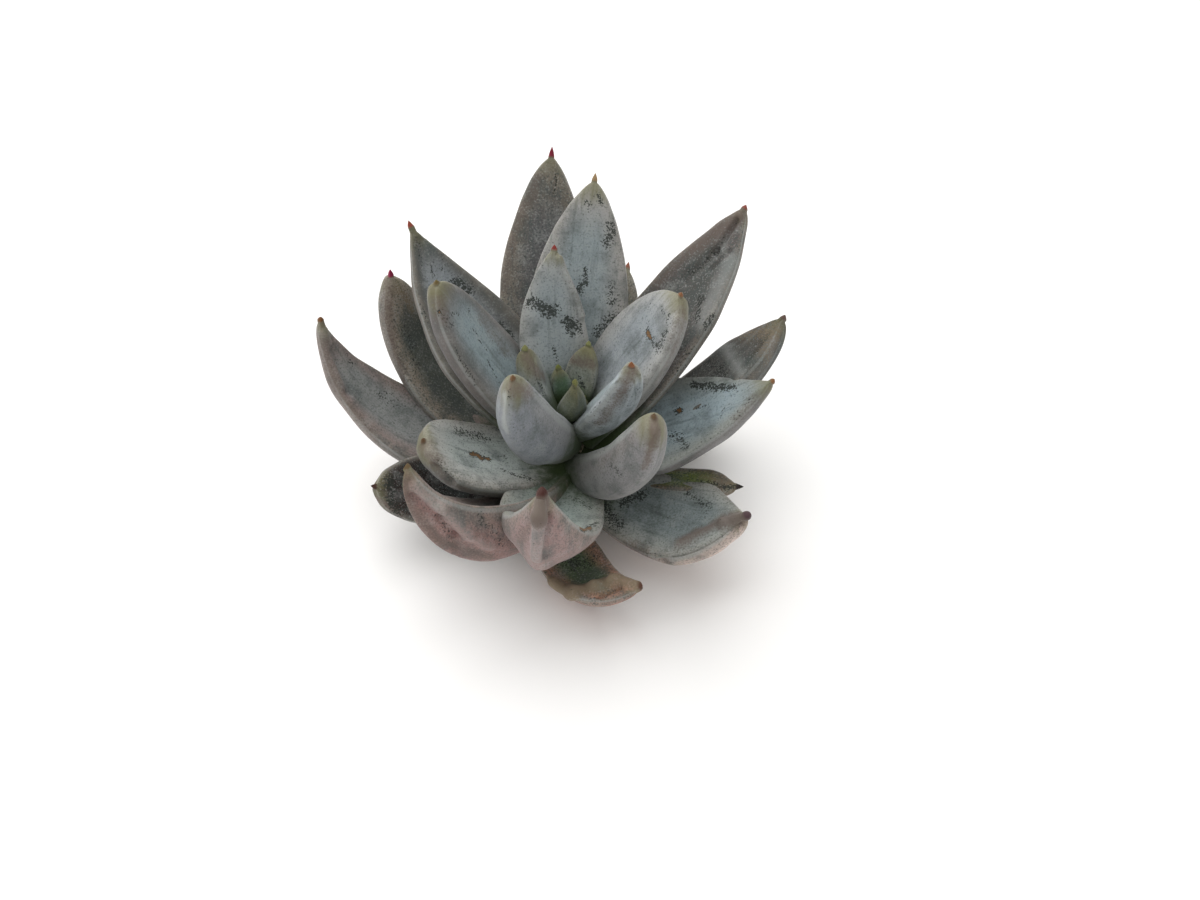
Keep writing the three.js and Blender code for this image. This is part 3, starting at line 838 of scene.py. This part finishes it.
def skin_masks(tree, finish):
    """Where each tone lies: values roughened by noise, then turned into masks from 0 to 1."""
    add_sums(
        tree,
        (
            ("edge", "ABSOLUTE", "across:Fac"),
            ("thinness", "ABSOLUTE", "side:Fac"),
            ("ragged edge", "MULTIPLY_ADD", "grain", 0.35, "edge"),
            ("ragged tip", "MULTIPLY_ADD", "streak", 0.12, "along:Fac"),
            ("ragged root", "MULTIPLY_ADD", "patch", 0.3, "along:Fac"),
            ("rubbing", "MULTIPLY_ADD", "patch", 0.8, "worn:Fac"),
            ("rubbed grain", "MULTIPLY_ADD", "grain", 2.4, "rubbing"),
            ("ragged scab", "MULTIPLY_ADD", "grain", 1.6, "scab:Fac"),
            ("ragged blush", "MULTIPLY_ADD", "grain", 0.7, "blush:Fac"),
            ("ragged sand", "MULTIPLY_ADD", "grain", 1.2, "sand:Fac"),
        ),
    )
    green, shift = finish.green, BARE_SHIFT * finish.worn
    # Masks: name, value read, where the mask is 0, where it is full and its full strength
    for name, value, low, high, most in (
        ("hollow across", "edge", 0.9, 0.3, 1),
        ("hollow root", "along:Fac", 0.1, 0.4, 1),
        ("hollow tip", "along:Fac", 0.95, 0.75, 1),
        ("rim mask", "ragged edge", 0.92, 1.2, finish.rim),
        # Painted highlight: a thin pale line where the section turns at the leaf's edge, standing in for
        # rim light.
        ("painted rim highlight", "thinness", 0.14, 0.03, 0.4),
        ("under mask", "upper:Fac", 1, 0, 1),
        ("cloud mask", "cloud", 0.46, 0.7, finish.patchy),
        ("thick wax mask", "cloud", 0.5, 0.3, finish.patchy * 0.5),
        ("streak mask", "streak", 0.5, 0.75, finish.patchy),
        ("dark grain mask", "grain", 0.5, 0.68, finish.speckled),
        ("pale grain mask", "grain", 0.47, 0.3, finish.speckled * 0.5),
        # Green flesh at the root, darkened with painted shade where the leaves crowd together.
        ("base green and crevice shade mask", "ragged root", green + 0.15, green * 0.3 + 0.15, 1),
        ("tip mask", "ragged tip", finish.ripe + 0.04, 1.06, finish.tip),
        ("bare mask", "rubbed grain", BARE_FROM - shift, BARE_TO - shift, 0.9),
        ("blush mask", "ragged blush", 0.4, 1.2, 0.85),
        ("sand mask", "ragged sand", 0.75, 1.3, 0.9),
        ("crust edge mask", "ragged scab", 1.1, 1.25, 0.9),
        ("scab mask", "ragged scab", 1.35, 1.6, 1),
    ):
        inputs = {"Value": value, "From Min": low, "From Max": high, "To Min": 0.0, "To Max": most}
        if low > high:
            inputs.update({"From Min": high, "From Max": low, "To Min": most, "To Max": 0.0})
        add_node(tree, name, "ShaderNodeMapRange", inputs, SMOOTHSTEP)
    add_sums(
        tree,
        (
            ("hollow blade", "MULTIPLY", "hollow across", "hollow root"),
            ("hollow mask", "MULTIPLY", "hollow blade", "hollow tip"),
            ("wax height", "MULTIPLY_ADD", "bare mask", BARE_DIP, "patch"),
            ("skin height", "MULTIPLY_ADD", "grain", GRAIN_RELIEF, "wax height"),
        ),
    )


def skin_tones(tree, colours):
    """The skin's colour, from the bloom up to the claw, by name of its topmost layer."""
    return layer_tones(
        tree,
        "bloom:Color",
        (
            ("hollow:Color", "hollow mask"),
            # The underside tone: darkened with painted shade on some leaves and lightened with painted
            # light on leaf 17.
            ("under:Color", "under mask"),
            (colours.rim, "rim mask"),
            (colours.thin_wax, "cloud mask"),
            (colours.thick_wax_and_rim_highlight, "thick wax mask"),
            (colours.thin_wax, "streak mask"),
            (colours.thin_wax, "dark grain mask"),
            (colours.thick_wax_and_rim_highlight, "pale grain mask"),
            # Painted highlight along each leaf's edge, in the thick-wax tone.
            (colours.thick_wax_and_rim_highlight, "painted rim highlight"),
            # Dark green base: the leaf's green flesh with painted shade in the crevices between leaves.
            (colours.root, "base green and crevice shade mask"),
            (colours.tip, "tip mask"),
            (colours.thick_wax_and_rim_highlight, "pale:Fac"),
            (colours.blush, "blush mask"),
            (colours.sand, "sand mask"),
            (colours.worn, "bare mask"),
            (colours.worn, "crust edge mask"),
            (colours.scab, "scab mask"),
            ("claw_tone:Color", "claw:Fac"),
        ),
    )


def leaf_skin(finish, sizes, colours):
    """Epicuticular wax over green skin: a chalky, cloudy bloom, granular where thin, bare where rubbed.

    The wax scatters light, so the skin is matt with a faint sheen, and bare spots are glossier.
    """
    material, tree = new_tree(finish.name)
    skin_textures(tree, sizes)
    skin_masks(tree, finish)
    top = skin_tones(tree, colours)
    relief = {"Height": "skin height", "Strength": 0.5, "Distance": RELIEF_HEIGHT}
    add_node(tree, "bump", "ShaderNodeBump", relief)
    rough, glossy = finish.roughness, finish.roughness - BARE_GLOSS
    gloss = {"Value": "bare mask", "To Min": rough, "To Max": glossy}
    add_node(tree, "gloss", "ShaderNodeMapRange", gloss)
    wax = {
        "Base Color": top,
        "Roughness": "gloss",
        "Normal": "bump",
        "IOR": 1.42,
        "Specular IOR Level": 0.35,
        "Sheen Weight": finish.sheen,
        "Sheen Roughness": 0.5,
        "Subsurface Weight": 0.05,
        "Subsurface Radius": (0.6, 1.0, 0.4),
        "Subsurface Scale": 0.8 * MM,
    }
    add_node(tree, "skin shader", "ShaderNodeBsdfPrincipled", wax)
    add_node(tree, "out", "ShaderNodeOutputMaterial", {"Surface": "skin shader"})
    return material


def add_leaves(context, first, last):
    """Build the leaves of the spiral from first to last, each as a piece of its own."""
    scene = context.scene
    for leaf in LEAVES:
        if not first <= leaf.order <= last:
            continue
        finish = FINISHES[LOOKS[leaf.order].finish]
        skin = bpy.data.materials.get(finish.name)
        if not skin:
            skin = leaf_skin(finish, scene.rosette_sizes, scene.rosette_colours)
        name = "bud_blade" if leaf.order < 0 else f"blade_{leaf.order:02d}"
        replaced = "bud" if leaf.order < 0 else f"leaf_{leaf.order:02d}"
        dress(leaf_mesh(name, leaf, scene.rosette_sizes), name, skin, replaced)


class ROSETTE_OT_heart_leaves(bpy.types.Operator):
    """Build the bud and the green heart leaves"""

    bl_idname = "rosette.heart_leaves"
    bl_label = "Heart leaves"

    def execute(self, context):
        add_leaves(context, -1, 4)
        return {"FINISHED"}


class ROSETTE_OT_young_leaves(bpy.types.Operator):
    """Build the young leaves with their blue-grey bloom"""

    bl_idname = "rosette.young_leaves"
    bl_label = "Young leaves"

    def execute(self, context):
        add_leaves(context, 5, 14)
        return {"FINISHED"}


class ROSETTE_OT_old_leaves(bpy.types.Operator):
    """Build the old, browner leaves round the outside"""

    bl_idname = "rosette.old_leaves"
    bl_label = "Old leaves"

    def execute(self, context):
        add_leaves(context, 15, 28)
        return {"FINISHED"}


def stem_radius(height):
    """Radius of the stem at a height, both in millimetres."""
    for (low, inner), (high, outer) in zip(STEM_PROFILE, STEM_PROFILE[1:]):
        if height <= high:
            return inner + (outer - inner) * (height - low) / (high - low)
    return 0


def stem_mesh(name):
    """The cut stem: a spun profile, ringed by the scars of dropped leaves, with uneven bark."""
    mesh = bmesh.new()
    top = STEM_PROFILE[-1][0]
    heights = [top * i / STEM_RINGS for i in range(STEM_RINGS + 1)]
    outline = [(0, i * CUT_STEP) for i in range(CUT_RINGS)]
    outline += [(height, stem_radius(height)) for height in heights]
    verts = [mesh.verts.new((radius * MM, 0, height * MM)) for height, radius in outline]
    edges = [mesh.edges.new(pair) for pair in zip(verts, verts[1:])]
    bmesh.ops.spin(
        mesh,
        geom=verts + edges,
        axis=(0, 0, 1),
        cent=(0, 0, 0),
        angle=math.tau,
        steps=STEM_SIDES,
        use_merge=True,
    )
    bmesh.ops.remove_doubles(mesh, verts=mesh.verts, dist=WELD_DISTANCE)
    bmesh.ops.recalc_face_normals(mesh, faces=mesh.faces)
    for vert in mesh.verts:
        x, y, height = vert.co / MM
        radius = math.hypot(x, y)
        if height > LOWEST_BARK and radius > INNERMOST_BARK:
            grain = Vector((x * ROUND_GRAIN, y * ROUND_GRAIN, height * UPRIGHT_GRAIN))
            bark = noise.noise(grain) * BARK_HEIGHT
            vert.co.x *= 1 + bark / radius
            vert.co.y *= 1 + bark / radius
    data = bpy.data.meshes.new(name)
    mesh.to_mesh(data)
    mesh.free()
    data.shade_smooth()
    return data


def stem_bark(colours):
    """Corky succulent bark, dried at the cut: matt, fissured and flecked with paler fibres."""
    material, tree = new_tree("corky_stem_bark")
    add_node(tree, "place", "ShaderNodeTexCoord")
    for name, size in (("fibre", 0.4 * MM), ("crust", 1.6 * MM)):
        inputs = {"Vector": "place:Object", "Scale": 1 / size, "Detail": 5, "Roughness": 0.65}
        add_node(tree, name, "ShaderNodeTexNoise", inputs)
    for name, value, low, high in (("fissure", "fibre", 0.45, 0.62), ("dry", "crust", 0.42, 0.6)):
        inputs = {"Value": value, "From Min": low, "From Max": high}
        add_node(tree, name, "ShaderNodeMapRange", inputs, SMOOTHSTEP)
    layers = ((colours.dry_bark, "dry"), (colours.fissure, "fissure"))
    top = layer_tones(tree, colours.stem, layers)
    relief = {"Height": "fibre", "Strength": 0.8, "Distance": 0.2 * MM}
    add_node(tree, "bump", "ShaderNodeBump", relief)
    bark = {"Base Color": top, "Roughness": 0.85, "Normal": "bump"}
    add_node(tree, "bark shader", "ShaderNodeBsdfPrincipled", bark)
    add_node(tree, "out", "ShaderNodeOutputMaterial", {"Surface": "bark shader"})
    return material


class ROSETTE_OT_stem(bpy.types.Operator):
    """Build the cut stem with its leaf scars"""

    bl_idname = "rosette.stem"
    bl_label = "Stem"

    def execute(self, context):
        bark = stem_bark(context.scene.rosette_colours)
        dress(stem_mesh("cut_stem"), "cut_stem", bark, "stem")
        return {"FINISHED"}


def white_card(colours):
    """Matt white card, which the rosette stands on."""
    material = bpy.data.materials.new("matt_white_card")
    material.use_nodes = True
    shader = material.node_tree.nodes["Principled BSDF"]
    shader.inputs["Base Color"].default_value = colours.floor[:]
    shader.inputs["Roughness"].default_value = 0.9
    return material


def add_floor(context):
    """A flat card just below the lowest leaf."""
    mesh = bmesh.new()
    bmesh.ops.create_grid(mesh, x_segments=2, y_segments=2, size=FLOOR_REACH)
    data = bpy.data.meshes.new("floor")
    mesh.to_mesh(data)
    mesh.free()
    data.materials.append(white_card(context.scene.rosette_colours))
    floor = bpy.data.objects.new("floor", data)
    floor.location.z = -FLOOR_DROP
    context.collection.objects.link(floor)


def add_light(context):
    """A pale room with a large window behind the rosette and a weak light in front."""
    world = bpy.data.worlds.new("pale room")
    world.use_nodes = True
    background = world.node_tree.nodes["Background"]
    background.inputs["Color"].default_value = linear("#ffffff")
    background.inputs["Strength"].default_value = 0.5
    context.scene.world = world
    for name, place, size, power in LIGHTS:
        light = bpy.data.lights.new(name, "AREA")
        light.energy = power
        light.size = size
        lamp = bpy.data.objects.new(name, light)
        lamp.location = place
        lamp.rotation_euler = Vector(place).to_track_quat("Z", "Y").to_euler()
        context.collection.objects.link(lamp)


def add_camera(context):
    """The camera that the photo was taken with, as near as it can be told."""
    lens = bpy.data.cameras.new("camera")
    lens.lens = CAMERA_LENS
    lens.sensor_width = CAMERA_SENSOR
    lens.clip_start = CAMERA_CLIP
    camera = bpy.data.objects.new("camera", lens)
    camera.location = CAMERA_PLACE
    camera.rotation_euler = (CAMERA_TILT, 0, 0)
    context.collection.objects.link(camera)
    context.scene.camera = camera
    context.scene.view_settings.view_transform = "Standard"


class ROSETTE_OT_stage(bpy.types.Operator):
    """Build the floor, the soft light and the camera"""

    bl_idname = "rosette.stage"
    bl_label = "Stage"

    def execute(self, context):
        add_floor(context)
        add_light(context)
        add_camera(context)
        return {"FINISHED"}


class ROSETTE_PT_panel(bpy.types.Panel):
    """List the rosette's sizes, colours and pieces"""

    bl_label = "Echeveria rosette"
    bl_idname = "ROSETTE_PT_panel"
    bl_space_type = "VIEW_3D"
    bl_region_type = "UI"
    bl_category = "Echeveria"

    def draw(self, context):
        for group in (context.scene.rosette_sizes, context.scene.rosette_colours):
            for name in group.bl_rna.properties.keys():
                if name not in {"rna_type", "name"}:
                    self.layout.prop(group, name)
        for operator in OPERATORS:
            self.layout.operator(operator.bl_idname)


OPERATORS = (
    ROSETTE_OT_stem,
    ROSETTE_OT_heart_leaves,
    ROSETTE_OT_young_leaves,
    ROSETTE_OT_old_leaves,
    ROSETTE_OT_stage,
)
CLASSES = (RosetteSizes, RosetteColours, *OPERATORS, ROSETTE_PT_panel)


def register():
    for cls in CLASSES:
        bpy.utils.register_class(cls)
    bpy.types.Scene.rosette_sizes = PointerProperty(type=RosetteSizes)
    bpy.types.Scene.rosette_colours = PointerProperty(type=RosetteColours)


def unregister():
    del bpy.types.Scene.rosette_colours
    del bpy.types.Scene.rosette_sizes
    for cls in reversed(CLASSES):
        bpy.utils.unregister_class(cls)


def main():
    register()
    bpy.ops.rosette.stem()
    bpy.ops.rosette.heart_leaves()
    bpy.ops.rosette.young_leaves()
    bpy.ops.rosette.old_leaves()
    bpy.ops.rosette.stage()


if __name__ == "__main__":
    main()
